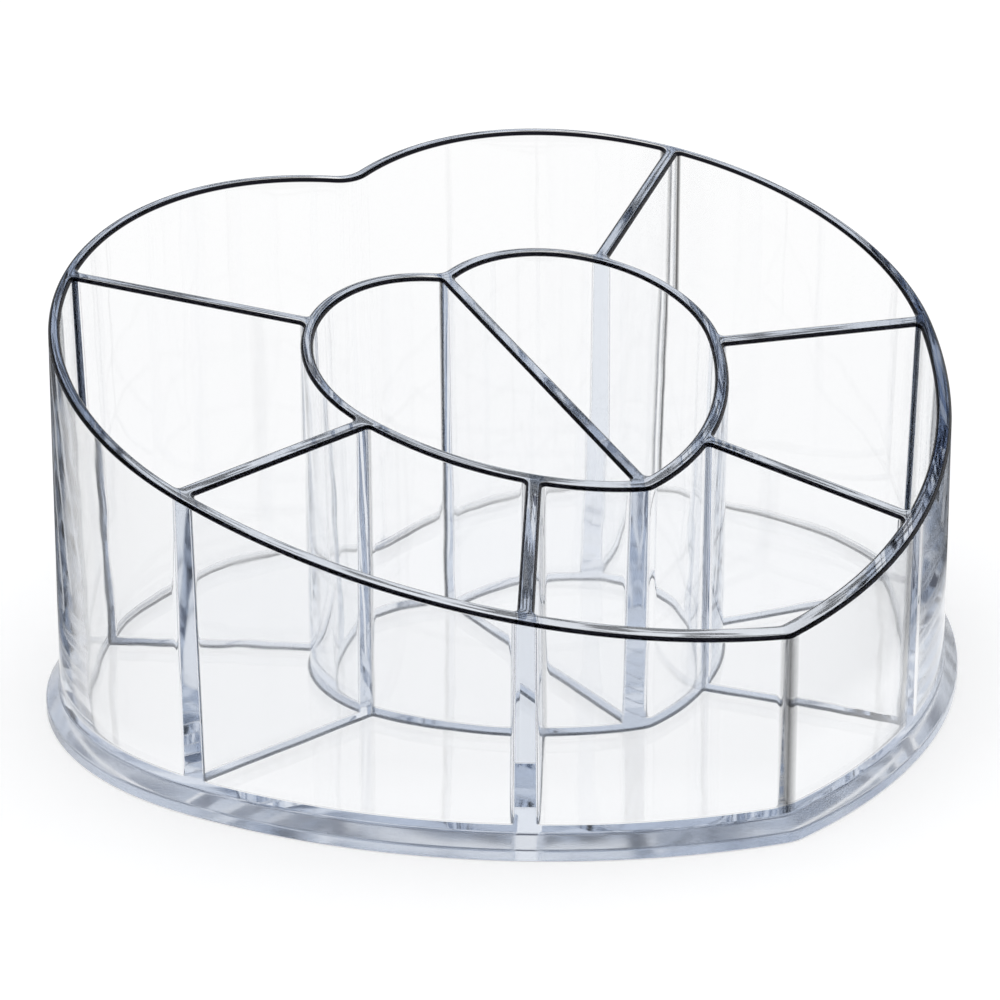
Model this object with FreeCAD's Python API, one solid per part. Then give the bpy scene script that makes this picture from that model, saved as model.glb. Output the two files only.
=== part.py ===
import FreeCAD, Part

import math
import os

# A clear heart-shaped vanity organizer. Lengths are in millimetres and angles in degrees.
# It is drawn about the tip of its outer wall: X runs across, Y from the tip back to the
# cleft between the lobes, and Z up. Each piece is moved at the end, so that the origin is
# the bottom centre of the whole part.

# Outer wall, at its upright outer face
heart_half_width = 92.1
heart_length = 153.6
heart_tip_round = 7.0
heart_cleft_round = 8.0
wall_foot_thickness = 4.7
wall_draft_angle = 1.87

# Outer heart's arcs: the widest line as a share of the length, and each joint as a share of
# the half width and of the way from the widest line to the cleft or to the tip
heart_widest_share = 0.628
heart_back_shares = (0.938, 0.457)
heart_front_shares = (0.948, 0.247)

# Inner wall, at its upright outer face: its distance inside the outer wall's outer face
inner_front_room = 45.9
inner_back_room = 35.0
inner_side_room = 48.1
inner_tip_round = 6.0
inner_cleft_round = 4.0
inner_foot_thickness = 4.5
inner_draft_angle = 1.71

# Inner heart's arcs, in the same shares
inner_widest_share = 0.641
inner_back_shares = (0.907, 0.560)
inner_front_shares = (0.952, 0.229)

# Rim: one sloping plane over all walls, named by its height at the outer wall's tip
rim_tip_height = 40.6
rim_slope_angle = 16.7

# Dividers: flat blades that narrow upwards on both sides
blade_foot_thickness = 3.9
blade_draft_angle = 0.47

# Each divider of the outer ring: its angle from straight across, and where its line crosses
# the middle, as a share of the inner heart's length
back_blade_angle = 37.1
middle_blade_angle = -9.5
front_blade_angle = -54.4
back_blade_share = 0.571
middle_blade_share = 0.587
front_blade_share = 0.516

# Base plate and its foot, which stands out all round: an upright edge, then a slope that
# meets the wall a little below the floor
floor_height = 4.5
foot_overhang = 2.8
foot_edge_height = 2.2
foot_step = 0.2

# Smallest rounding that is left where a thick wall turns a corner, and the overrun of cuts
least_round = 0.4
overrun = 6.0

UP = FreeCAD.Vector(0, 0, 1)


def at(x, y, z=0.0):
    return FreeCAD.Vector(x, y, z)


def arc_through(start, heading, end):
    """Centre of the arc that leaves start along heading and passes through end."""
    chord = end - start
    left = at(-heading.y, heading.x)
    return start + left * (chord.Length ** 2 / (2 * chord.dot(left)))


def heading_at_end(start, heading, end):
    """Heading of that arc at its end: the first heading mirrored in the chord."""
    along = (end - start).normalize()
    return along * (2 * heading.dot(along)) - heading


class Heart:
    """Right half of a heart outline, made of tangent arcs.

    From the widest point two arcs run back, to the lobe joint and on to the cleft, and two
    run forward, to the front joint and on to the tip. The tip and the cleft are rounded.
    """

    def __init__(self, tip_y, half_width, length, widest, back, front, tip_round, cleft_round):
        cleft = at(0, tip_y + length)
        tip = at(0, tip_y)
        side = at(half_width, tip_y + widest * length)
        lobe_joint = at(back[0] * half_width, side.y + back[1] * (cleft.y - side.y))
        front_joint = at(front[0] * half_width, side.y + front[1] * (tip.y - side.y))
        backwards = at(0, 1)
        forwards = at(0, -1)
        back_heading = heading_at_end(side, backwards, lobe_joint)
        front_heading = heading_at_end(side, forwards, front_joint)
        self.centres = [
            arc_through(lobe_joint, back_heading, cleft),
            arc_through(side, backwards, lobe_joint),
            arc_through(side, forwards, front_joint),
            arc_through(front_joint, front_heading, tip),
        ]
        self.joints = [lobe_joint, side, front_joint]
        self.cleft = cleft
        self.tip = tip
        self.tip_round = tip_round
        self.cleft_round = cleft_round

    def middle_round(self, centre, corner, rounding, offset):
        """Centre and radius of the rounding where an arc meets its mirror image at x = 0.

        In a notch the rounding lies outside the arc, and at a point it lies inside it.
        """
        radius = (corner - centre).Length + offset
        notch = math.copysign(1, centre.x)
        own = max(rounding - notch * offset, least_round)
        away = math.copysign(1, corner.y - centre.y)
        rise = math.sqrt((radius + notch * own) ** 2 - centre.x ** 2)
        middle = at(0, centre.y + away * rise)
        touch = centre + (middle - centre).normalize() * radius
        end = middle - at(0, notch * away * own)
        return middle, touch, end

    def arcs(self, offset):
        """Arcs from the cleft round to the tip, each as start, centre and end."""
        back, lobe_side, front_side, front = self.centres
        cleft = self.middle_round(back, self.cleft, self.cleft_round, offset)
        tip = self.middle_round(front, self.tip, self.tip_round, offset)
        joints = []
        for joint, centre in zip(self.joints, self.centres):
            joints.append(joint + (joint - centre).normalize() * offset)
        return [
            (cleft[2], cleft[0], cleft[1]),
            (cleft[1], back, joints[0]),
            (joints[0], lobe_side, joints[1]),
            (joints[1], front_side, joints[2]),
            (joints[2], front, tip[1]),
            (tip[1], tip[0], tip[2]),
        ]

    def wire(self, offset, z):
        """Closed outline at height z, grown outwards by offset."""
        right = []
        left = []
        for start, centre, end in self.arcs(offset):
            radius = (start - centre).Length
            half_way = centre + ((start - centre) + (end - centre)).normalize() * radius
            path = [start, half_way, end]
            right.append(edge_through([at(p.x, p.y, z) for p in path]))
            left.insert(0, edge_through([at(-p.x, p.y, z) for p in reversed(path)]))
        return Part.Wire(right + left)

    def back_reach(self, offset):
        """Furthest Y of the lobes."""
        centre = self.centres[0]
        return centre.y + (self.cleft - centre).Length + offset

    def front_reach(self, offset):
        """Furthest Y of the tip, towards the front."""
        return self.arcs(offset)[-1][2].y


def edge_through(path):
    return Part.Arc(*path).toShape()


def loft(sections):
    """Solid with straight sides between sections, each a closed wire."""
    return Part.makeLoft(sections, True, True)


def taper(angle):
    """Sideways step for each unit of height on a face drafted by angle."""
    return math.tan(math.radians(angle))


def rim_height(y):
    return rim_tip_height + y * taper(rim_slope_angle)


outer = Heart(0, heart_half_width, heart_length, heart_widest_share, heart_back_shares,
              heart_front_shares, heart_tip_round, heart_cleft_round)
inner = Heart(inner_front_room, heart_half_width - inner_side_room,
              heart_length - inner_front_room - inner_back_room, inner_widest_share,
              inner_back_shares, inner_front_shares, inner_tip_round, inner_cleft_round)

front_y = outer.front_reach(foot_overhang)
back_y = outer.back_reach(foot_overhang)
cut_height = rim_height(back_y) + overrun


def hollow(heart, foot_thickness, draft):
    """Space inside a wall whose inner face leans outwards by draft, from the floor up."""
    top_thickness = foot_thickness - (cut_height - floor_height) * taper(draft)
    return loft([
        heart.wire(-foot_thickness, floor_height),
        heart.wire(-top_thickness, cut_height),
    ])


def under_rim():
    """Everything below the rim's sloping plane and above the base's top."""
    start_y = front_y - overrun
    end_y = back_y + overrun
    half = heart_half_width + foot_overhang + overrun
    corners = [
        at(-half, start_y, floor_height),
        at(-half, end_y, floor_height),
        at(-half, end_y, rim_height(end_y)),
        at(-half, start_y, rim_height(start_y)),
    ]
    side = Part.Face(Part.makePolygon(corners + corners[:1]))
    return side.extrude(at(2 * half, 0))


def right_side():
    """Everything to the right of the middle plane."""
    width = heart_half_width + foot_overhang + overrun
    depth = back_y - front_y + 2 * overrun
    return Part.makeBox(width, depth, cut_height, at(0, front_y - overrun))


def base_plate():
    """Flat plate with the foot's upright edge and its slope up to the wall."""
    return loft([
        outer.wire(foot_overhang, 0),
        outer.wire(foot_overhang, foot_edge_height),
        outer.wire(0, floor_height - foot_step),
        outer.wire(0, floor_height),
    ])


def upright_block(heart):
    """A wall's outer form, upright all the way."""
    return loft([
        heart.wire(0, floor_height),
        heart.wire(0, cut_height),
    ])


def blade(start, angle, reach):
    """Upright blade from start, at angle from straight across, thinner at its top."""
    along = at(math.cos(math.radians(angle)), math.sin(math.radians(angle)))
    across = at(-along.y, along.x)
    sections = []
    for z in (floor_height, cut_height):
        half = blade_foot_thickness / 2 - (z - floor_height) * taper(blade_draft_angle)
        near = start + UP * z
        far = near + along * reach
        corners = [near - across * half, far - across * half, far + across * half, near + across * half]
        sections.append(Part.makePolygon(corners + corners[:1]))
    return loft(sections)


def ring_divider(angle, share, ring):
    """Divider of the outer ring, cut to the faces of both walls."""
    start = at(0, inner.tip.y + share * (inner.cleft.y - inner.tip.y))
    return blade(start, angle, heart_half_width + heart_length).common(ring)


def mirrored(shape):
    return shape.mirror(at(0, 0), at(1, 0))


def main():
    rim_space = under_rim()
    right = right_side()
    outer_hollow = hollow(outer, wall_foot_thickness, wall_draft_angle)
    inner_hollow = hollow(inner, inner_foot_thickness, inner_draft_angle)
    inner_block = upright_block(inner)
    ring = outer_hollow.cut(inner_block).common(rim_space)

    outer_half = upright_block(outer).cut(outer_hollow).common(rim_space).common(right)
    inner_half = inner_block.cut(inner_hollow).common(rim_space).common(right)
    centre_blade = blade(at(0, 0), 90, heart_length)

    pieces = {
        "base_plate": base_plate(),
        "outer_wall_right": outer_half,
        "outer_wall_left": mirrored(outer_half),
        "inner_wall_right": inner_half,
        "inner_wall_left": mirrored(inner_half),
        "centre_divider": centre_blade.common(inner_hollow).common(rim_space),
    }
    ring_dividers = {
        "back": (back_blade_angle, back_blade_share),
        "middle": (middle_blade_angle, middle_blade_share),
        "front": (front_blade_angle, front_blade_share),
    }
    for place, (angle, share) in ring_dividers.items():
        divider = ring_divider(angle, share, ring)
        pieces["divider_right_" + place] = divider
        pieces["divider_left_" + place] = mirrored(divider)

    os.makedirs("parts", exist_ok=True)
    to_origin = at(0, -(front_y + back_y) / 2)
    for node, shape in pieces.items():
        solid = shape.Solids[0]
        solid.translate(to_origin)
        solid.exportStep("parts/" + node + ".step")
        box = solid.BoundBox
        print(node, len(shape.Solids), solid.isValid(), round(solid.Volume),
              [round(v, 2) for v in (box.XMin, box.XMax, box.YMin, box.YMax, box.ZMin, box.ZMax)])


main()
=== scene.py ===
import math

import bmesh
import bpy
import numpy as np
from mathutils import Matrix


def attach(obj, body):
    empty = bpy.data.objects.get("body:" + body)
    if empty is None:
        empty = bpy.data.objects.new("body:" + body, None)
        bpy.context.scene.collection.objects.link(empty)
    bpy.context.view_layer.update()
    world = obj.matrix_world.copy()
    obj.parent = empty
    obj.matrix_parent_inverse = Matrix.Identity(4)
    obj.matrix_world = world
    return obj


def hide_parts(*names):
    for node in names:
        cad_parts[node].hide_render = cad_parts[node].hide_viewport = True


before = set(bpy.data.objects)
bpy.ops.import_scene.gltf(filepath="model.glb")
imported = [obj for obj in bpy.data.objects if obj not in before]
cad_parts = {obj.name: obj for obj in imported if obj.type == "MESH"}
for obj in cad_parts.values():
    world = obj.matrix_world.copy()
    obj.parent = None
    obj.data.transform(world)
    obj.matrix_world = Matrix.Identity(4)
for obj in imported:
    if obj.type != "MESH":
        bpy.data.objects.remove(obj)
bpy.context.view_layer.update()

# Lengths are in millimetres and angles in degrees, as in the part's source. The moulding is
# drawn about the tip of its outer wall and moved to the part's own origin at the end. Points
# of a plan are complex numbers, x + iy.
MM = 0.001

# The outer heart, and the inner heart's distance inside it
HEART_HALF_WIDTH = 92.1
HEART_LENGTH = 153.6
INNER_FRONT_ROOM = 45.9
INNER_BACK_ROOM = 35.0
INNER_SIDE_ROOM = 48.1

# Each heart's arcs, in the shares that the part's source gives, and its roundings
OUTER_WIDEST, OUTER_BACK, OUTER_FRONT = 0.628, (0.938, 0.457), (0.948, 0.247)
INNER_WIDEST, INNER_BACK, INNER_FRONT = 0.641, (0.907, 0.560), (0.952, 0.229)
OUTER_TIP_ROUND, OUTER_CLEFT_ROUND = 7.0, 8.0
INNER_TIP_ROUND, INNER_CLEFT_ROUND = 6.0, 4.0

# Walls and dividers: thickness at the floor and draft angle
OUTER_THICKNESS, OUTER_DRAFT = 4.7, 1.87
INNER_THICKNESS, INNER_DRAFT = 4.5, 1.71
BLADE_THICKNESS, BLADE_DRAFT = 3.9, 0.47

# Each divider of the ring: its angle from straight across, and where its line crosses the
# middle, as a share of the inner heart's length
RING_BLADES = ((37.1, 0.571), (-9.5, 0.587), (-54.4, 0.516))

RIM_TIP_HEIGHT, RIM_SLOPE = 40.6, 16.7
FLOOR_HEIGHT = 4.5
FOOT_OVERHANG = 2.8
FOOT_EDGE_HEIGHT = 2.2
FOOT_SLOPE_TOP = 4.3

# Small roundings of the moulding: in the upright corners beside a divider, round each
# compartment's floor, along the rim, and at the foot's three corners from the top down
CORNER_ROUND = 0.9
FLOOR_ROUND = 0.55
RIM_ROUND = 0.7
FOOT_CUTS = (0.45, 0.35, 0.3)

# How dark the painted shade on the roundings is, of 1: along the rim, round the floors, on
# the foot, in a divider's upright corners at its near and far end, and down the outer wall's
# tip, where TIP_LINE is how far from the tip it reaches
RIM_PAINTED_SHADE, FLOOR_PAINTED_SHADE, FOOT_PAINTED_SHADE = 1.0, 0.55, 0.08
NEAR_PAINTED_SHADE, FAR_PAINTED_SHADE, TIP_PAINTED_SHADE = 0.3, 0.6, 0.58
TIP_LINE = 2.2

# Columns of a point after its x, y and z: its marks of edge (painted shade), haze, across and top
PAINTED_EDGE_SHADE, HAZE, ACROSS, TOP = 3, 4, 5, 6
POINT_SIZE = 7

# Steps of the grids: on a small rounding, up a wall, on an upright corner and along a
# divider; the columns of a wall behind a divider; and the walls' columns, by their width
ROUND_STEPS = 5
UPRIGHT_STEPS = 3
FILLET_STEPS = 5
BLADE_STEPS = 12
BLADE_COLUMNS = 8
OUTER_COLUMN, INNER_COLUMN = 0.45, 0.4
HALVINGS = 44
SETTLINGS = 8
TALLEST = 60.0
MERGE_GAP = 0.002

# The plastic: clear styrene, with waves in its faces, dark streaks on its rim that are painted
# reflections, painted shade on its roundings and a faint tint
REFRACTIVE_INDEX = 1.49
WAVE_SCALE, WAVE_DEPTH = 130.0, 0.03
POLISH_LOW, POLISH_HIGH = 0.01, 0.04
FOOT_HAZE = 0.2
STREAKS_ALONG, STREAKS_ACROSS = 70.0, 3.0
STREAK_LOW, STREAK_HIGH, STREAK_DARK = 0.46, 0.56, 0.55
# The near-black base colour and specular tint of the painted shade and painted reflections, and
# the mark at which it is full
PAINTED_SHADE_COLOUR, FULL_PAINTED_SHADE = (0.0001, 0.0001, 0.0002, 1), 0.6
TINT_COLOUR, TINT_DENSITY = (0.12, 0.27, 0.5, 1), 5.5

# The floor: its half width in metres, the gaps between its layers in metres, and the levels
# of its shade beneath the walls and of the light that the camera sees on it
FLOOR_REACH = 6.0
FLOOR_GAP = 0.00004
WALL_SHADE = 0.95
CAMERA_FILL = 0.45
FLOOR_COLOUR = (0.8, 0.8, 0.8, 1)

# How far from the middle, in metres, the floor turns dim in reflections, and by what share
DIM_START, DIM_END, DIM_SHARE = 0.1, 0.115, 0.9

# The studio's light from straight below (0) to straight above (1)
STUDIO_STEPS = (
    (0.0, (1, 1, 1, 1)),
    (0.78, (0.97, 0.98, 1, 1)),
    (0.80, (0.15, 0.16, 0.2, 1)),
    (0.86, (0.15, 0.16, 0.2, 1)),
    (0.88, (0.95, 0.95, 0.95, 1)),
)

# The camera of the photograph: its turn, tilt, place in metres and lens
CAMERA_TURN, CAMERA_TILT = -33.1432, 21.8845
CAMERA_PLACE = (-0.52867, -0.79197, 0.42299)
CAMERA_LENS = 189.342


def slope_of(angle):
    """Sideways step for each unit of length, the tangent of the angle."""
    return math.tan(math.radians(angle))


def rim_height(y):
    """Height of the rim's sloping plane: its height at the tip plus y times its slope."""
    return RIM_TIP_HEIGHT + y * slope_of(RIM_SLOPE)


def unit(z):
    """Direction of z, as a complex number of length one."""
    return z / abs(z)


def arc_centre(start, heading, end):
    """Centre of the arc that leaves start along heading and passes through end.

    It stands to the left of start by the chord squared over twice the chord's leftward part.
    """
    chord = end - start
    left = 1j * heading
    return start + left * abs(chord) ** 2 / (2 * (chord * left.conjugate()).real)


def heading_at(start, heading, end):
    """That arc's heading at its end, which is the first one mirrored in the chord."""
    return unit(end - start) ** 2 * heading.conjugate()


def middle_arc(centre, corner, rounding):
    """Centre, start and end of the small arc that rounds a corner on the middle line.

    Its centre is on the middle line, the sum of the radii from the big arc's centre in a
    notch and their difference at a point, and it touches the big arc on the line of centres.
    """
    notch = math.copysign(1, centre.real)
    away = math.copysign(1, (corner - centre).imag)
    rise = math.sqrt((abs(corner - centre) + notch * rounding) ** 2 - centre.real ** 2)
    middle = 1j * (centre.imag + away * rise)
    touch = centre + unit(middle - centre) * abs(corner - centre)
    return middle, touch, middle - 1j * notch * away * rounding


class Outline:
    """Right half of a heart as six tangent arcs, from the cleft clockwise to the tip.

    A point at run t and offset d is its arc's centre plus radius times the unit vector at
    angle (first + turn * (t - start of the arc) / radius), plus d times the outward normal.
    """

    def __init__(self, tip_y, half_width, length, widest, back, front, tip_round, cleft_round):
        cleft, tip = 1j * (tip_y + length), 1j * tip_y
        side = half_width + 1j * (tip_y + widest * length)
        lobe = back[0] * half_width + 1j * (side.imag + back[1] * (cleft - side).imag)
        nose = front[0] * half_width + 1j * (side.imag + front[1] * (tip - side).imag)
        centres = [
            arc_centre(lobe, heading_at(side, 1j, lobe), cleft),
            arc_centre(side, 1j, lobe),
            arc_centre(side, -1j, nose),
            arc_centre(nose, heading_at(side, -1j, nose), tip),
        ]
        notch, notch_touch, notch_end = middle_arc(centres[0], cleft, cleft_round)
        point, point_touch, point_end = middle_arc(centres[3], tip, tip_round)
        ends = np.array([notch_end, notch_touch, lobe, side, nose, point_touch, point_end])
        self.centre = np.array([notch, *centres, point])
        first, last = ends[:-1] - self.centre, ends[1:] - self.centre
        self.radius = abs(first)
        self.first = np.angle(first)
        sweep = np.angle(last / first)
        self.turn = np.sign(sweep)
        self.start = np.concatenate([[0], np.cumsum(self.radius * abs(sweep))])
        self.length = self.start[-1]
        self.widest = self.start[3]

    def place(self, t):
        """Point of the outline at run t, and the outward normal there."""
        i = np.clip(np.searchsorted(self.start, t, side="right") - 1, 0, len(self.radius) - 1)
        way = np.exp(1j * (self.first[i] + self.turn[i] * (t - self.start[i]) / self.radius[i]))
        return self.centre[i] + self.radius[i] * way, -self.turn[i] * way

    def points(self, t, offset):
        """Points at run t, moved out by offset along the normal."""
        on_arc, outward = self.place(t)
        return on_arc + offset * outward


class Face:
    """One side of a wall. It stands open towards room: 1 is out of the heart, -1 is into it."""

    def __init__(self, outline, thickness, draft, room):
        self.outline, self.thickness, self.room = outline, thickness, room
        self.taper = slope_of(draft)

    def offset(self, z):
        """Offset from the outline at height z: less of the thickness with each step up."""
        return (z - FLOOR_HEIGHT) * self.taper - self.thickness


class Blade:
    """A divider: a flat blade from start along its angle, as thick as half(z) to each side."""

    def __init__(self, start_y, angle):
        self.start = 1j * start_y
        self.along = np.exp(1j * math.radians(angle))
        self.across = 1j * self.along

    def half(self, z):
        """Half the thickness at height z: less by the draft with each step up."""
        return BLADE_THICKNESS / 2 - (z - FLOOR_HEIGHT) * slope_of(BLADE_DRAFT)


class Corner:
    """Upright fillet between a face and one side of a blade, on the run from low to high.

    Its centre stands CORNER_ROUND off both, and its place on the face is found by halving.
    """

    def __init__(self, face, blade, side, low, high):
        self.face, self.blade, self.side, self.low, self.high = face, blade, side, low, high

    def offset(self, z):
        """Offset of the fillet's centre from the outline at height z."""
        return self.face.offset(z) + self.face.room * CORNER_ROUND

    def run(self, z):
        """Run of the fillet's centre: where it is CORNER_ROUND beyond the blade's side."""
        reach = self.side * (self.blade.half(z) + CORNER_ROUND)
        low, high = np.full(z.shape, self.low), np.full(z.shape, self.high)
        for _ in range(HALVINGS):
            middle = (low + high) / 2
            there = self.face.outline.points(middle, self.offset(z)) - self.blade.start
            beyond = (there * np.conj(self.blade.across)).real > reach
            low, high = np.where(beyond, middle, low), np.where(beyond, high, middle)
        return (low + high) / 2

    def arc(self, z, radius, share):
        """Point of the fillet, turned by share from the face round to the blade's side."""
        on_arc, outward = self.face.outline.place(self.run(z))
        centre = on_arc + self.offset(z) * outward
        to_face = -self.face.room * outward
        turn = np.angle(-self.side * self.blade.across / to_face)
        return centre + radius * to_face * np.exp(1j * share * turn)


def bend(w):
    """Shares of start, corner and end at w on a rounding: a circle's arc in a square corner."""
    shares = np.array([(1 - w) ** 2, math.sqrt(2) * w * (1 - w), w ** 2])
    return shares / shares.sum(0)


def painted_shade_round(strength):
    """Painted shade marks on a rounding: strength times the root of the sine of the way round it.
    """
    return strength * np.sqrt(np.sin(np.linspace(0, math.pi, ROUND_STEPS + 1)).clip(0))


def stacked(plan, z, edge, haze=0.0, top=0.0):
    """Points x, y, z with their marks, from plan points, heights and marks as whole arrays."""
    x, y = plan.real, plan.imag
    return np.stack(np.broadcast_arrays(x, y, z, edge, haze, 0.0, top), -1)


def raised(plan, columns, from_floor=True, upright_painted_shade=0.0):
    """Grid of points over a plan, from the floor's rounding up to the rim's flat.

    plan(z, step) gives points at height z, moved by step into the open. Each column's
    height on the sloping rim follows from its own y, which a few settlings make exact. The
    edge mark, painted shade, is the stronger of the rounding's and the column's own, which the
    call gives.
    """
    corner = flat = np.full(columns, TALLEST)
    for _ in range(SETTLINGS):
        corner = rim_height(plan(corner, 0).imag)
        flat = rim_height(plan(flat, -RIM_ROUND).imag)
    first, turning, last = bend(np.linspace(0, 1, ROUND_STEPS + 1))
    low = FLOOR_HEIGHT + FLOOR_ROUND
    share = np.linspace(0, 1, UPRIGHT_STEPS + 1)[1:-1]
    straight = low + share[:, None] * (corner - RIM_ROUND - low)
    top = (first[:, None] * (corner - RIM_ROUND) + turning[:, None] * corner
           + last[:, None] * flat)
    z = [straight, top]
    step = [np.zeros(len(straight)), -RIM_ROUND * last]
    # The rim's and the floor's roundings get painted shade, darkest half way round
    edge = [np.zeros(len(straight)), painted_shade_round(RIM_PAINTED_SHADE)]
    if from_floor:
        z.insert(0, np.repeat((FLOOR_HEIGHT + FLOOR_ROUND * last)[:, None], columns, 1))
        step.insert(0, FLOOR_ROUND * first)
        edge.insert(0, painted_shade_round(FLOOR_PAINTED_SHADE))
    z, step, edge = np.concatenate(z), np.concatenate(step)[:, None], np.concatenate(edge)
    edge = np.maximum(edge[:, None], upright_painted_shade)
    edge[-1] = 0
    if from_floor:
        edge[0] = 0
    on_top = np.zeros((len(z), 1))
    on_top[-1] = 1
    return stacked(plan(z, step), z, edge, top=on_top)


class Wall:
    """A wall's faces, in columns that run between its knots: 0, the corners, the length."""

    def __init__(self, outline, thickness, draft):
        self.outline = outline
        self.inside = Face(outline, thickness, draft, -1)
        self.outside = Face(outline, 0, 0, 1)

    def divide(self, corners, step):
        """Sets the knots and columns: a few between a blade's corners, or one each step."""
        self.knots = [lambda z: np.zeros(z.shape)]
        self.knots += [corner.run for corner in corners]
        self.knots += [lambda z: np.full(z.shape, self.outline.length)]
        at_floor = np.full(1, FLOOR_HEIGHT)
        runs = [float(knot(at_floor)[0]) for knot in self.knots]
        spans, share, self.first = [], [], [0]
        for i, run in enumerate(np.diff(runs)):
            behind_blade = run < 3 * BLADE_THICKNESS
            count = BLADE_COLUMNS if behind_blade else max(BLADE_COLUMNS, round(run / step))
            spans += [i] * count
            share += list(np.arange(count) / count)
            self.first.append(self.first[-1] + count)
        self.spans = np.array(spans + [len(runs) - 2])
        self.share = np.array(share + [1.0])

    def run(self, z):
        """Run of each column at height z: its share of the way between its two knots."""
        z = np.maximum(z, FLOOR_HEIGHT)
        knots = np.stack([knot(z) for knot in self.knots])
        columns = np.arange(len(self.spans))
        before = knots[self.spans, ..., columns]
        after = knots[self.spans + 1, ..., columns]
        share = self.share.reshape([-1] + [1] * (before.ndim - 1))
        return np.moveaxis(before * (1 - share) + after * share, 0, -1)

    def grid(self, face, from_floor=True, tip_painted_shade=0.0):
        """Grid of a face, with painted shade down the last TIP_LINE of its run to the tip, as
        strong as the tip argument.
        """
        def plan(z, step):
            return self.outline.points(self.run(z), face.offset(z) + face.room * step)

        run = self.run(np.full(len(self.spans), FLOOR_HEIGHT))
        to_tip = 1 - (self.outline.length - run) / TIP_LINE
        return raised(plan, len(self.spans), from_floor, tip_painted_shade * np.sqrt(to_tip.clip(0)))

    def blade_span(self, i):
        """First and last column behind the ring's divider i, which covers them."""
        return self.first[i], self.first[i + 1]


def without(grid, spans):
    """The strips of a wall's grid that no blade covers."""
    kept, start = [], 0
    for low, high in spans:
        kept.append(grid[:, start:low + 1])
        start = high
    kept.append(grid[:, start:])
    return [strip for strip in kept if strip.shape[1] > 1]


def blade_side(near, far):
    """Grid of a blade's side: a fillet, the flat side and a fillet.

    A point is its share of the way from the near corner's line to the far corner's.
    """
    turn = np.linspace(0, 1, FILLET_STEPS + 1)
    flat = np.linspace(0, 1, BLADE_STEPS + 1)[1:-1]
    share = np.concatenate([turn, np.ones(len(flat)), turn[::-1]])
    way = np.concatenate([turn * 0, flat, turn * 0 + 1])

    def plan(z, step):
        radius = CORNER_ROUND - step
        return (1 - way) * near.arc(z, radius, share) + way * far.arc(z, radius, share)

    # Painted shade in the divider's upright corners, at its near and far end
    edge = np.concatenate([painted_shade_round(NEAR_PAINTED_SHADE), flat * 0, painted_shade_round(FAR_PAINTED_SHADE)])
    return raised(plan, len(share), upright_painted_shade=edge)


def blade_top(left, right, near, far):
    """Flat top of a blade between its two edges, bent at its ends to the walls' lines.

    A point is its share of the way across from left to right, plus what near and far stand
    off the straight line there, fading out along the fillets.
    """
    across = np.linspace(0, 1, len(near))[:, None, None]
    fade = np.zeros(len(left))
    fade[:FILLET_STEPS + 1] = np.linspace(1, 0, FILLET_STEPS + 1)
    top = left * (1 - across) + right * across
    bulge_near = near[:, None] - (left[0] * (1 - across) + right[0] * across)
    bulge_far = far[:, None] - (left[-1] * (1 - across) + right[-1] * across)
    top = top + fade[:, None] * bulge_near + fade[::-1, None] * bulge_far
    top[..., 2] = rim_height(top[..., 1])
    return top


def foot_profile():
    """Offsets and heights down the foot, each corner rounded by bend, with its painted shade and
    haze.
    """
    path = np.array([
        [0, FLOOR_HEIGHT + 3], [0, FOOT_SLOPE_TOP], [FOOT_OVERHANG, FOOT_EDGE_HEIGHT],
        [FOOT_OVERHANG, 0], [FOOT_OVERHANG - 3, 0],
    ])
    shares = bend(np.linspace(0, 1, ROUND_STEPS + 1))
    rows = []
    for before, corner, after, cut in zip(path, path[1:], path[2:], FOOT_CUTS):
        start = corner + (before - corner) * cut / np.linalg.norm(before - corner)
        end = corner + (after - corner) * cut / np.linalg.norm(after - corner)
        rows.append(shares.T @ np.array([start, corner, end]))
    fade = np.linspace(0, 1, ROUND_STEPS + 1)
    haze = np.concatenate([fade, fade * 0 + 1, fade[::-1]])
    return np.concatenate(rows), np.tile(painted_shade_round(FOOT_PAINTED_SHADE), len(rows)), haze


def hearts():
    """The outer and the inner wall, and the corners of the ring's dividers and the middle's."""
    outer = Wall(Outline(0, HEART_HALF_WIDTH, HEART_LENGTH, OUTER_WIDEST, OUTER_BACK,
                         OUTER_FRONT, OUTER_TIP_ROUND, OUTER_CLEFT_ROUND),
                 OUTER_THICKNESS, OUTER_DRAFT)
    inner_length = HEART_LENGTH - INNER_FRONT_ROOM - INNER_BACK_ROOM
    inner = Wall(Outline(INNER_FRONT_ROOM, HEART_HALF_WIDTH - INNER_SIDE_ROOM, inner_length,
                         INNER_WIDEST, INNER_BACK, INNER_FRONT, INNER_TIP_ROUND,
                         INNER_CLEFT_ROUND),
                 INNER_THICKNESS, INNER_DRAFT)
    ring = []
    for angle, share in RING_BLADES:
        blade = Blade(INNER_FRONT_ROOM + share * inner_length, angle)
        ring.append([[Corner(face, blade, side, 0.0, face.outline.length)
                      for face in (inner.outside, outer.inside)] for side in (1, -1)])
    middle, half_way, end = Blade(0, 90), inner.outline.widest, inner.outline.length
    cleft_corner = Corner(inner.inside, middle, -1, 0.0, half_way)
    tip_corner = Corner(inner.inside, middle, -1, end, half_way)
    corners = [side for blade in ring for side in blade]
    outer.divide([far for _, far in corners], OUTER_COLUMN)
    inner.divide([cleft_corner, *[near for near, _ in corners], tip_corner], INNER_COLUMN)
    return outer, inner, ring, tip_corner, cleft_corner


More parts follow.
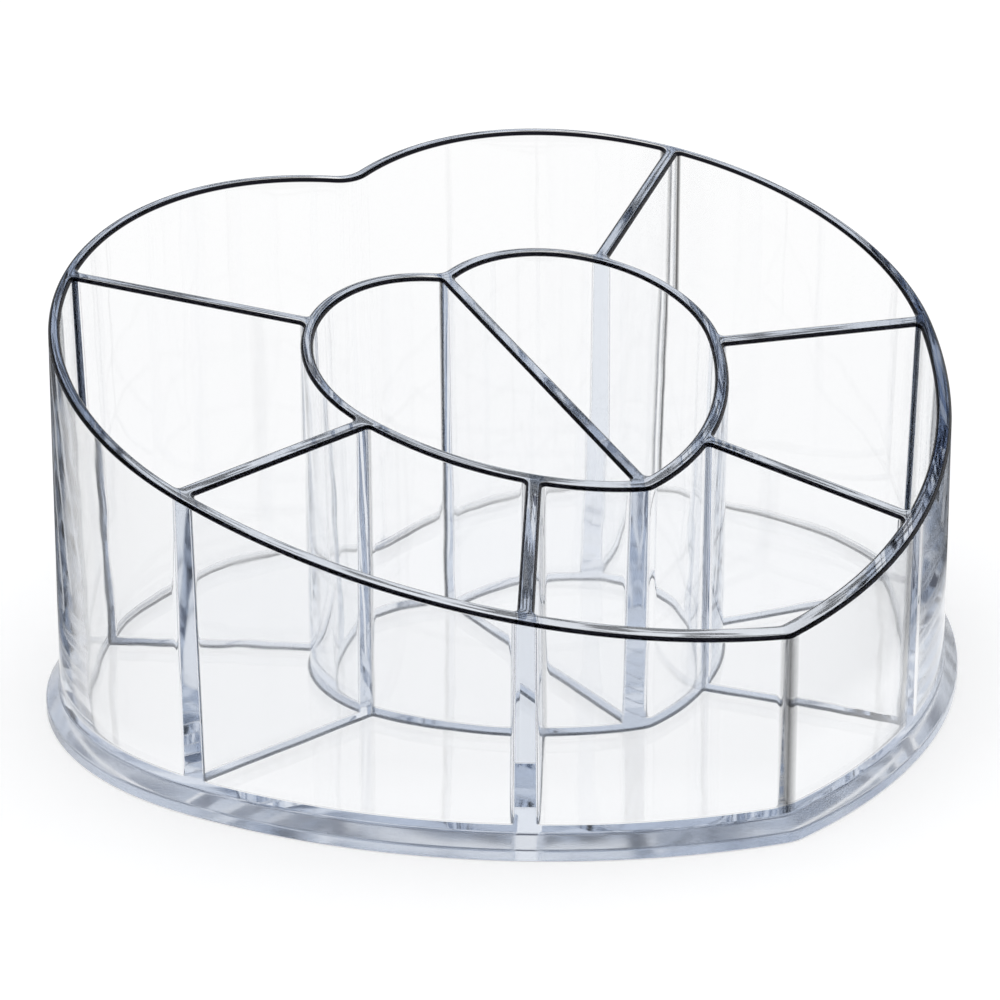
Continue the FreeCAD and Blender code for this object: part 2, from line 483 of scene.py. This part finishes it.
def middle_divider(inner, inner_in, tip_corner, cleft_corner):
    """Right half of the divider in the inner heart: its side, and its top to the middle line."""
    side = blade_side(tip_corner, cleft_corner)
    edge = side[-1]
    near = inner_in[-1, inner.first[8]:][::-1]
    far = inner_in[-1, :inner.first[1] + 1]
    line = np.zeros_like(edge)
    way = (edge[:, 1] - edge[0, 1]) / (edge[-1, 1] - edge[0, 1])
    line[:, 1] = near[0, 1] + way * (far[0, 1] - near[0, 1])
    line[:, 2] = rim_height(line[:, 1])
    return [side, blade_top(line, edge, near, far)]


def moulding_patches():
    """Grids of the right half's faces, and the outer wall that they stand on."""
    outer, inner, ring, tip_corner, cleft_corner = hearts()
    outer_in = outer.grid(outer.inside)
    outer_out = outer.grid(outer.outside, from_floor=False, tip_painted_shade=TIP_PAINTED_SHADE)
    inner_out = inner.grid(inner.outside)
    inner_in = inner.grid(inner.inside)
    outer_in[..., ACROSS] = inner_in[..., ACROSS] = 1

    rows, edge, haze = foot_profile()
    run = outer.run(np.full(len(outer.spans), FLOOR_HEIGHT))
    foot = stacked(outer.outline.points(run, rows[:, :1]), rows[:, 1:], edge[:, None],
                   haze[:, None])
    foot[0, :, PAINTED_EDGE_SHADE] = outer_out[0, :, PAINTED_EDGE_SHADE]

    outer_spans = [outer.blade_span(i) for i in (1, 3, 5)]
    inner_spans = [inner.blade_span(i) for i in (2, 4, 6)]
    patches = without(outer_in, outer_spans) + without(inner_out, inner_spans)
    patches.append(inner_in[:, inner.first[1]:inner.first[8] + 1])
    patches.append(np.concatenate([foot[::-1], outer_out]))
    patches.append(np.stack([outer_out[-1], outer_in[-1]]))
    patches.append(np.stack([inner_out[-1], inner_in[-1]]))

    for (left, right), (o1, o2), (i1, i2) in zip(ring, outer_spans, inner_spans):
        left, right = blade_side(*left), blade_side(*right)
        right[..., ACROSS] = 1
        near, far = inner_out[-1, i1:i2 + 1], outer_in[-1, o1:o2 + 1]
        patches += [left, right, blade_top(left[-1], right[-1], near, far)]
    patches += middle_divider(inner, inner_in, tip_corner, cleft_corner)
    return patches, outer


def moulding():
    """The whole moulding as one closed skin: the patches, their mirror images and the flats.

    The eight floors and the underside are level, so each is one face on its own edge.
    """
    patches, outer = moulding_patches()
    mirrored = np.ones(POINT_SIZE)
    mirrored[0] = -1
    vertices, faces, count = [], [], 0
    for grid in patches:
        rows, columns = grid.shape[:2]
        index = np.arange(rows * columns).reshape(rows, columns)
        quads = np.stack([index[:-1, :-1], index[:-1, 1:], index[1:, 1:], index[1:, :-1]], -1)
        for half in (1, mirrored):
            vertices.append(grid.reshape(-1, POINT_SIZE) * half)
            faces.append(quads.reshape(-1, 4) + count)
            count += rows * columns
    vertices, faces = np.concatenate(vertices), np.concatenate(faces)
    foot_run = np.linspace(0, outer.outline.length, 4001)
    foot_y = outer.outline.points(foot_run, FOOT_OVERHANG).imag
    vertices[:, 1] -= (foot_y.min() + foot_y.max()) / 2

    mesh = bpy.data.meshes.new("moulding")
    mesh.from_pydata((vertices[:, :3] * MM).tolist(), [], faces.tolist())
    # The edge mark carries the roundings' painted shade; haze, across and top are the other marks
    for name, column in (("edge", PAINTED_EDGE_SHADE), ("haze", HAZE), ("across", ACROSS), ("top", TOP)):
        mark = mesh.attributes.new(name, "FLOAT", "POINT")
        mark.data.foreach_set("value", vertices[:, column])
    piece = bpy.data.objects.new("moulding", mesh)
    bpy.context.scene.collection.objects.link(piece)

    work = bmesh.new()
    work.from_mesh(mesh)
    bmesh.ops.remove_doubles(work, verts=work.verts, dist=MERGE_GAP * MM)
    edges = [edge for edge in work.edges if edge.is_boundary]
    bmesh.ops.holes_fill(work, edges=edges, sides=0)
    bmesh.ops.recalc_face_normals(work, faces=work.faces)
    work.to_mesh(mesh)
    work.free()
    mesh.shade_smooth()
    even = piece.modifiers.new("even_normals", "WEIGHTED_NORMAL")
    even.mode = "FACE_AREA"
    even.keep_sharp = False
    return piece


def nodes_of(owner):
    """An empty node tree, and the calls that add a node with its values and link two sockets."""
    owner.use_nodes = True
    tree = owner.node_tree
    tree.nodes.clear()

    def add(kind, sockets=None, **values):
        node = tree.nodes.new(kind)
        for name, value in values.items():
            setattr(node, name, value)
        for name, value in (sockets or {}).items():
            node.inputs[name].default_value = value
        return node

    return tree, add, tree.links.new


def rim_painted_reflections(add, link, place):
    """Painted reflections: fine dark lines painted along the flat top of the walls and dividers,
    for the dark lines that light reflected inside the walls shows there.

    They are noise that changes slowly along the top and quickly across it, kept where it is
    high: from 0 at STREAK_LOW to STREAK_DARK at STREAK_HIGH, times the mark of the top.
    """
    along = add("ShaderNodeVectorMath", {1: (STREAKS_ALONG, STREAKS_ALONG, 0)},
                operation="MULTIPLY")
    link(place.outputs["Object"], along.inputs[0])
    across = add("ShaderNodeAttribute", attribute_name="across")
    lines = add("ShaderNodeMath", {1: STREAKS_ACROSS}, operation="MULTIPLY")
    link(across.outputs["Fac"], lines.inputs[0])
    sideways = add("ShaderNodeCombineXYZ")
    link(lines.outputs[0], sideways.inputs["Z"])
    track = add("ShaderNodeVectorMath", operation="ADD")
    link(along.outputs[0], track.inputs[0])
    link(sideways.outputs[0], track.inputs[1])
    noise = add("ShaderNodeTexNoise", {"Scale": 1.0, "Detail": 1.0})
    link(track.outputs[0], noise.inputs["Vector"])
    line = add("ShaderNodeMapRange", {"From Min": STREAK_LOW, "From Max": STREAK_HIGH,
                                      "To Max": STREAK_DARK})
    link(noise.outputs[0], line.inputs["Value"])
    top = add("ShaderNodeAttribute", attribute_name="top")
    on_top = add("ShaderNodeMath", operation="MULTIPLY")
    link(line.outputs[0], on_top.inputs[0])
    link(top.outputs["Fac"], on_top.inputs[1])
    return on_top


def clear_plastic():
    """Clear styrene with a faint lavender tint that shows along the long ways through it.

    The walls' faces are a little wavy, and their polish varies, as it does on a moulding. Its
    roundings, marked edge, get painted shade: a near-black base colour and specular tint, seen
    from outside, standing in for the light that they turn away; the streaks on its top are
    painted reflections in the same colour. The foot, marked haze, is less clear.
    """
    material = bpy.data.materials.new("clear_plastic")
    tree, add, link = nodes_of(material)
    place = add("ShaderNodeTexCoord")
    waves = add("ShaderNodeTexNoise", {"Scale": WAVE_SCALE, "Detail": 0.0})
    link(place.outputs["Object"], waves.inputs["Vector"])
    wavy = add("ShaderNodeBump", {"Strength": 1.0, "Distance": WAVE_DEPTH * MM})
    link(waves.outputs[0], wavy.inputs["Height"])
    polish = add("ShaderNodeMapRange", {"From Min": 0.3, "From Max": 0.7,
                                        "To Min": POLISH_LOW, "To Max": POLISH_HIGH})
    link(waves.outputs[0], polish.inputs["Value"])
    haze = add("ShaderNodeAttribute", attribute_name="haze")
    rough = add("ShaderNodeMath", {1: FOOT_HAZE}, operation="MULTIPLY_ADD")
    link(haze.outputs["Fac"], rough.inputs[0])
    link(polish.outputs[0], rough.inputs[2])

    # Painted shade on the roundings and painted reflections on the rim: the edge and streak marks
    # darken the base colour and specular tint, from outside only
    edge = add("ShaderNodeAttribute", attribute_name="edge")
    painted_reflections = rim_painted_reflections(add, link, place)
    darker = add("ShaderNodeMath", operation="MAXIMUM")
    link(edge.outputs["Fac"], darker.inputs[0])
    link(painted_reflections.outputs[0], darker.inputs[1])
    face = add("ShaderNodeNewGeometry")
    outside = add("ShaderNodeMath", {0: 1.0}, operation="SUBTRACT")
    link(face.outputs["Backfacing"], outside.inputs[1])
    dark = add("ShaderNodeMath", operation="MULTIPLY")
    link(darker.outputs[0], dark.inputs[0])
    link(outside.outputs[0], dark.inputs[1])
    colour = add("ShaderNodeValToRGB")
    clear, full = colour.color_ramp.elements
    clear.color = (1, 1, 1, 1)
    full.position, full.color = FULL_PAINTED_SHADE, PAINTED_SHADE_COLOUR
    link(dark.outputs[0], colour.inputs[0])

    glass = add("ShaderNodeBsdfPrincipled", {"IOR": REFRACTIVE_INDEX,
                                             "Transmission Weight": 1.0})
    link(colour.outputs[0], glass.inputs["Base Color"])
    link(colour.outputs[0], glass.inputs["Specular Tint"])
    link(rough.outputs[0], glass.inputs["Roughness"])
    link(wavy.outputs[0], glass.inputs["Normal"])
    tint = add("ShaderNodeVolumeAbsorption", {"Color": TINT_COLOUR, "Density": TINT_DENSITY})
    out = add("ShaderNodeOutputMaterial")
    link(glass.outputs[0], out.inputs["Surface"])
    link(tint.outputs[0], out.inputs["Volume"])
    return material


def studio():
    """White studio with a dark band of wall above the lights, which the camera sees as white."""
    world = bpy.data.worlds.new("studio")
    bpy.context.scene.world = world
    tree, add, link = nodes_of(world)
    place = add("ShaderNodeTexCoord")
    split = add("ShaderNodeSeparateXYZ")
    link(place.outputs["Generated"], split.inputs[0])
    height = add("ShaderNodeMapRange", {"From Min": -1, "From Max": 1})
    link(split.outputs["Z"], height.inputs["Value"])
    ramp = add("ShaderNodeValToRGB")
    steps = ramp.color_ramp.elements
    steps[0].position, steps[0].color = STUDIO_STEPS[0]
    steps[1].position, steps[1].color = STUDIO_STEPS[1]
    for position, colour in STUDIO_STEPS[2:]:
        steps.new(position).color = colour
    link(height.outputs[0], ramp.inputs[0])
    around = add("ShaderNodeBackground")
    link(ramp.outputs[0], around.inputs["Color"])
    white = add("ShaderNodeBackground", {"Color": (1, 1, 1, 1)})
    path = add("ShaderNodeLightPath")
    mix = add("ShaderNodeMixShader")
    link(path.outputs["Is Camera Ray"], mix.inputs[0])
    link(around.outputs[0], mix.inputs[1])
    link(white.outputs[0], mix.inputs[2])
    out = add("ShaderNodeOutputWorld")
    link(mix.outputs[0], out.inputs["Surface"])
    world.cycles.sampling_method = "NONE"


def pale(name, level):
    """Floor finish: matt and lit for the camera, and a plain level where the plastic shows it.

    What the plastic reflects of the floor further out is dim, as in a studio with dark sides,
    which gives clear things their dark outlines.
    """
    material = bpy.data.materials.new(name)
    tree, add, link = nodes_of(material)
    matt = add("ShaderNodeBsdfDiffuse", {"Color": FLOOR_COLOUR})
    fill = add("ShaderNodeEmission", {"Color": (CAMERA_FILL, CAMERA_FILL, CAMERA_FILL, 1)})
    plain = add("ShaderNodeEmission", {"Color": (level, level, level, 1)})
    path = add("ShaderNodeLightPath")
    link(path.outputs["Is Camera Ray"], fill.inputs["Strength"])
    direct = add("ShaderNodeAddShader")
    link(matt.outputs[0], direct.inputs[0])
    link(fill.outputs[0], direct.inputs[1])
    place = add("ShaderNodeTexCoord")
    away = add("ShaderNodeVectorMath", operation="LENGTH")
    link(place.outputs["Object"], away.inputs[0])
    outer = add("ShaderNodeMapRange", {"From Min": DIM_START, "From Max": DIM_END,
                                       "To Max": DIM_SHARE})
    link(away.outputs["Value"], outer.inputs["Value"])
    dim = add("ShaderNodeMath", operation="MULTIPLY")
    link(outer.outputs[0], dim.inputs[0])
    link(path.outputs["Is Reflection Ray"], dim.inputs[1])
    left = add("ShaderNodeMath", {0: 1.0}, operation="SUBTRACT")
    link(dim.outputs[0], left.inputs[1])
    link(left.outputs[0], plain.inputs["Strength"])
    through = add("ShaderNodeMath", operation="MAXIMUM")
    link(path.outputs["Is Transmission Ray"], through.inputs[0])
    link(path.outputs["Is Glossy Ray"], through.inputs[1])
    mix = add("ShaderNodeMixShader")
    link(through.outputs[0], mix.inputs[0])
    link(direct.outputs[0], mix.inputs[1])
    link(plain.outputs[0], mix.inputs[2])
    out = add("ShaderNodeOutputMaterial")
    link(mix.outputs[0], out.inputs["Surface"])
    return material


def flat_patch(name, outlines, material):
    """Level faces of the floor, one in each closed outline of points."""
    mesh = bpy.data.meshes.new(name)
    ends = np.cumsum([len(outline) for outline in outlines])
    faces = [range(end - len(outline), end) for end, outline in zip(ends, outlines)]
    mesh.from_pydata(np.concatenate(outlines).tolist(), [], [list(face) for face in faces])
    mesh.materials.append(material)
    patch = bpy.data.objects.new(name, mesh)
    bpy.context.scene.collection.objects.link(patch)


def floor(mesh):
    """The pale floor, with its shade beneath the walls and dividers that stand on it.

    The mesh's level faces, the underside and the compartments' floors, give the outlines.
    """
    points = np.empty((len(mesh.vertices), 3))
    mesh.vertices.foreach_get("co", points.ravel())
    levels = [points[list(face.vertices)] for face in mesh.polygons if len(face.vertices) > 4]
    half_height = FLOOR_HEIGHT / 2 * MM
    underside = [outline for outline in levels if outline[0, 2] < half_height]
    compartments = [outline for outline in levels if outline[0, 2] > half_height]
    corners = np.array([[-1, -1, 0], [1, -1, 0], [1, 1, 0], [-1, 1, 0]]) * FLOOR_REACH
    white, shade = pale("pale_floor", 1.0), pale("floor_shade", WALL_SHADE)
    for name, outlines, depth, material in (("floor", [corners], 3, white),
                                            ("floor_under_walls", underside, 2, shade),
                                            ("floor_under_compartments", compartments, 1, white)):
        lowered = [outline * (1, 1, 0) - (0, 0, depth * FLOOR_GAP) for outline in outlines]
        flat_patch(name, lowered, material)


def camera():
    """The photograph's camera: its right, up and back directions from its turn and tilt."""
    data = bpy.data.cameras.new("camera")
    data.sensor_width = 36.0
    data.lens = CAMERA_LENS
    data.clip_start, data.clip_end = 0.05, 50.0
    item = bpy.data.objects.new("camera", data)
    bpy.context.scene.collection.objects.link(item)
    turn, tilt = math.radians(CAMERA_TURN), math.radians(CAMERA_TILT)
    right = (math.cos(turn), math.sin(turn), 0)
    up = (-math.sin(turn) * math.sin(tilt), math.cos(turn) * math.sin(tilt), math.cos(tilt))
    back = (math.sin(turn) * math.cos(tilt), -math.cos(turn) * math.cos(tilt), math.sin(tilt))
    axes = np.column_stack([right, up, back, CAMERA_PLACE]).tolist()
    item.matrix_world = Matrix(axes + [[0, 0, 0, 1]])
    bpy.context.scene.camera = item


scene = bpy.context.scene
scene.view_settings.view_transform = "Standard"
scene.cycles.max_bounces = 32
scene.cycles.transmission_bounces = 48
scene.cycles.glossy_bounces = 48
scene.cycles.transparent_max_bounces = 64

piece = moulding()
piece.data.materials.append(clear_plastic())
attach(piece, "root")
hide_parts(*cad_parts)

floor(piece.data)
studio()
camera()
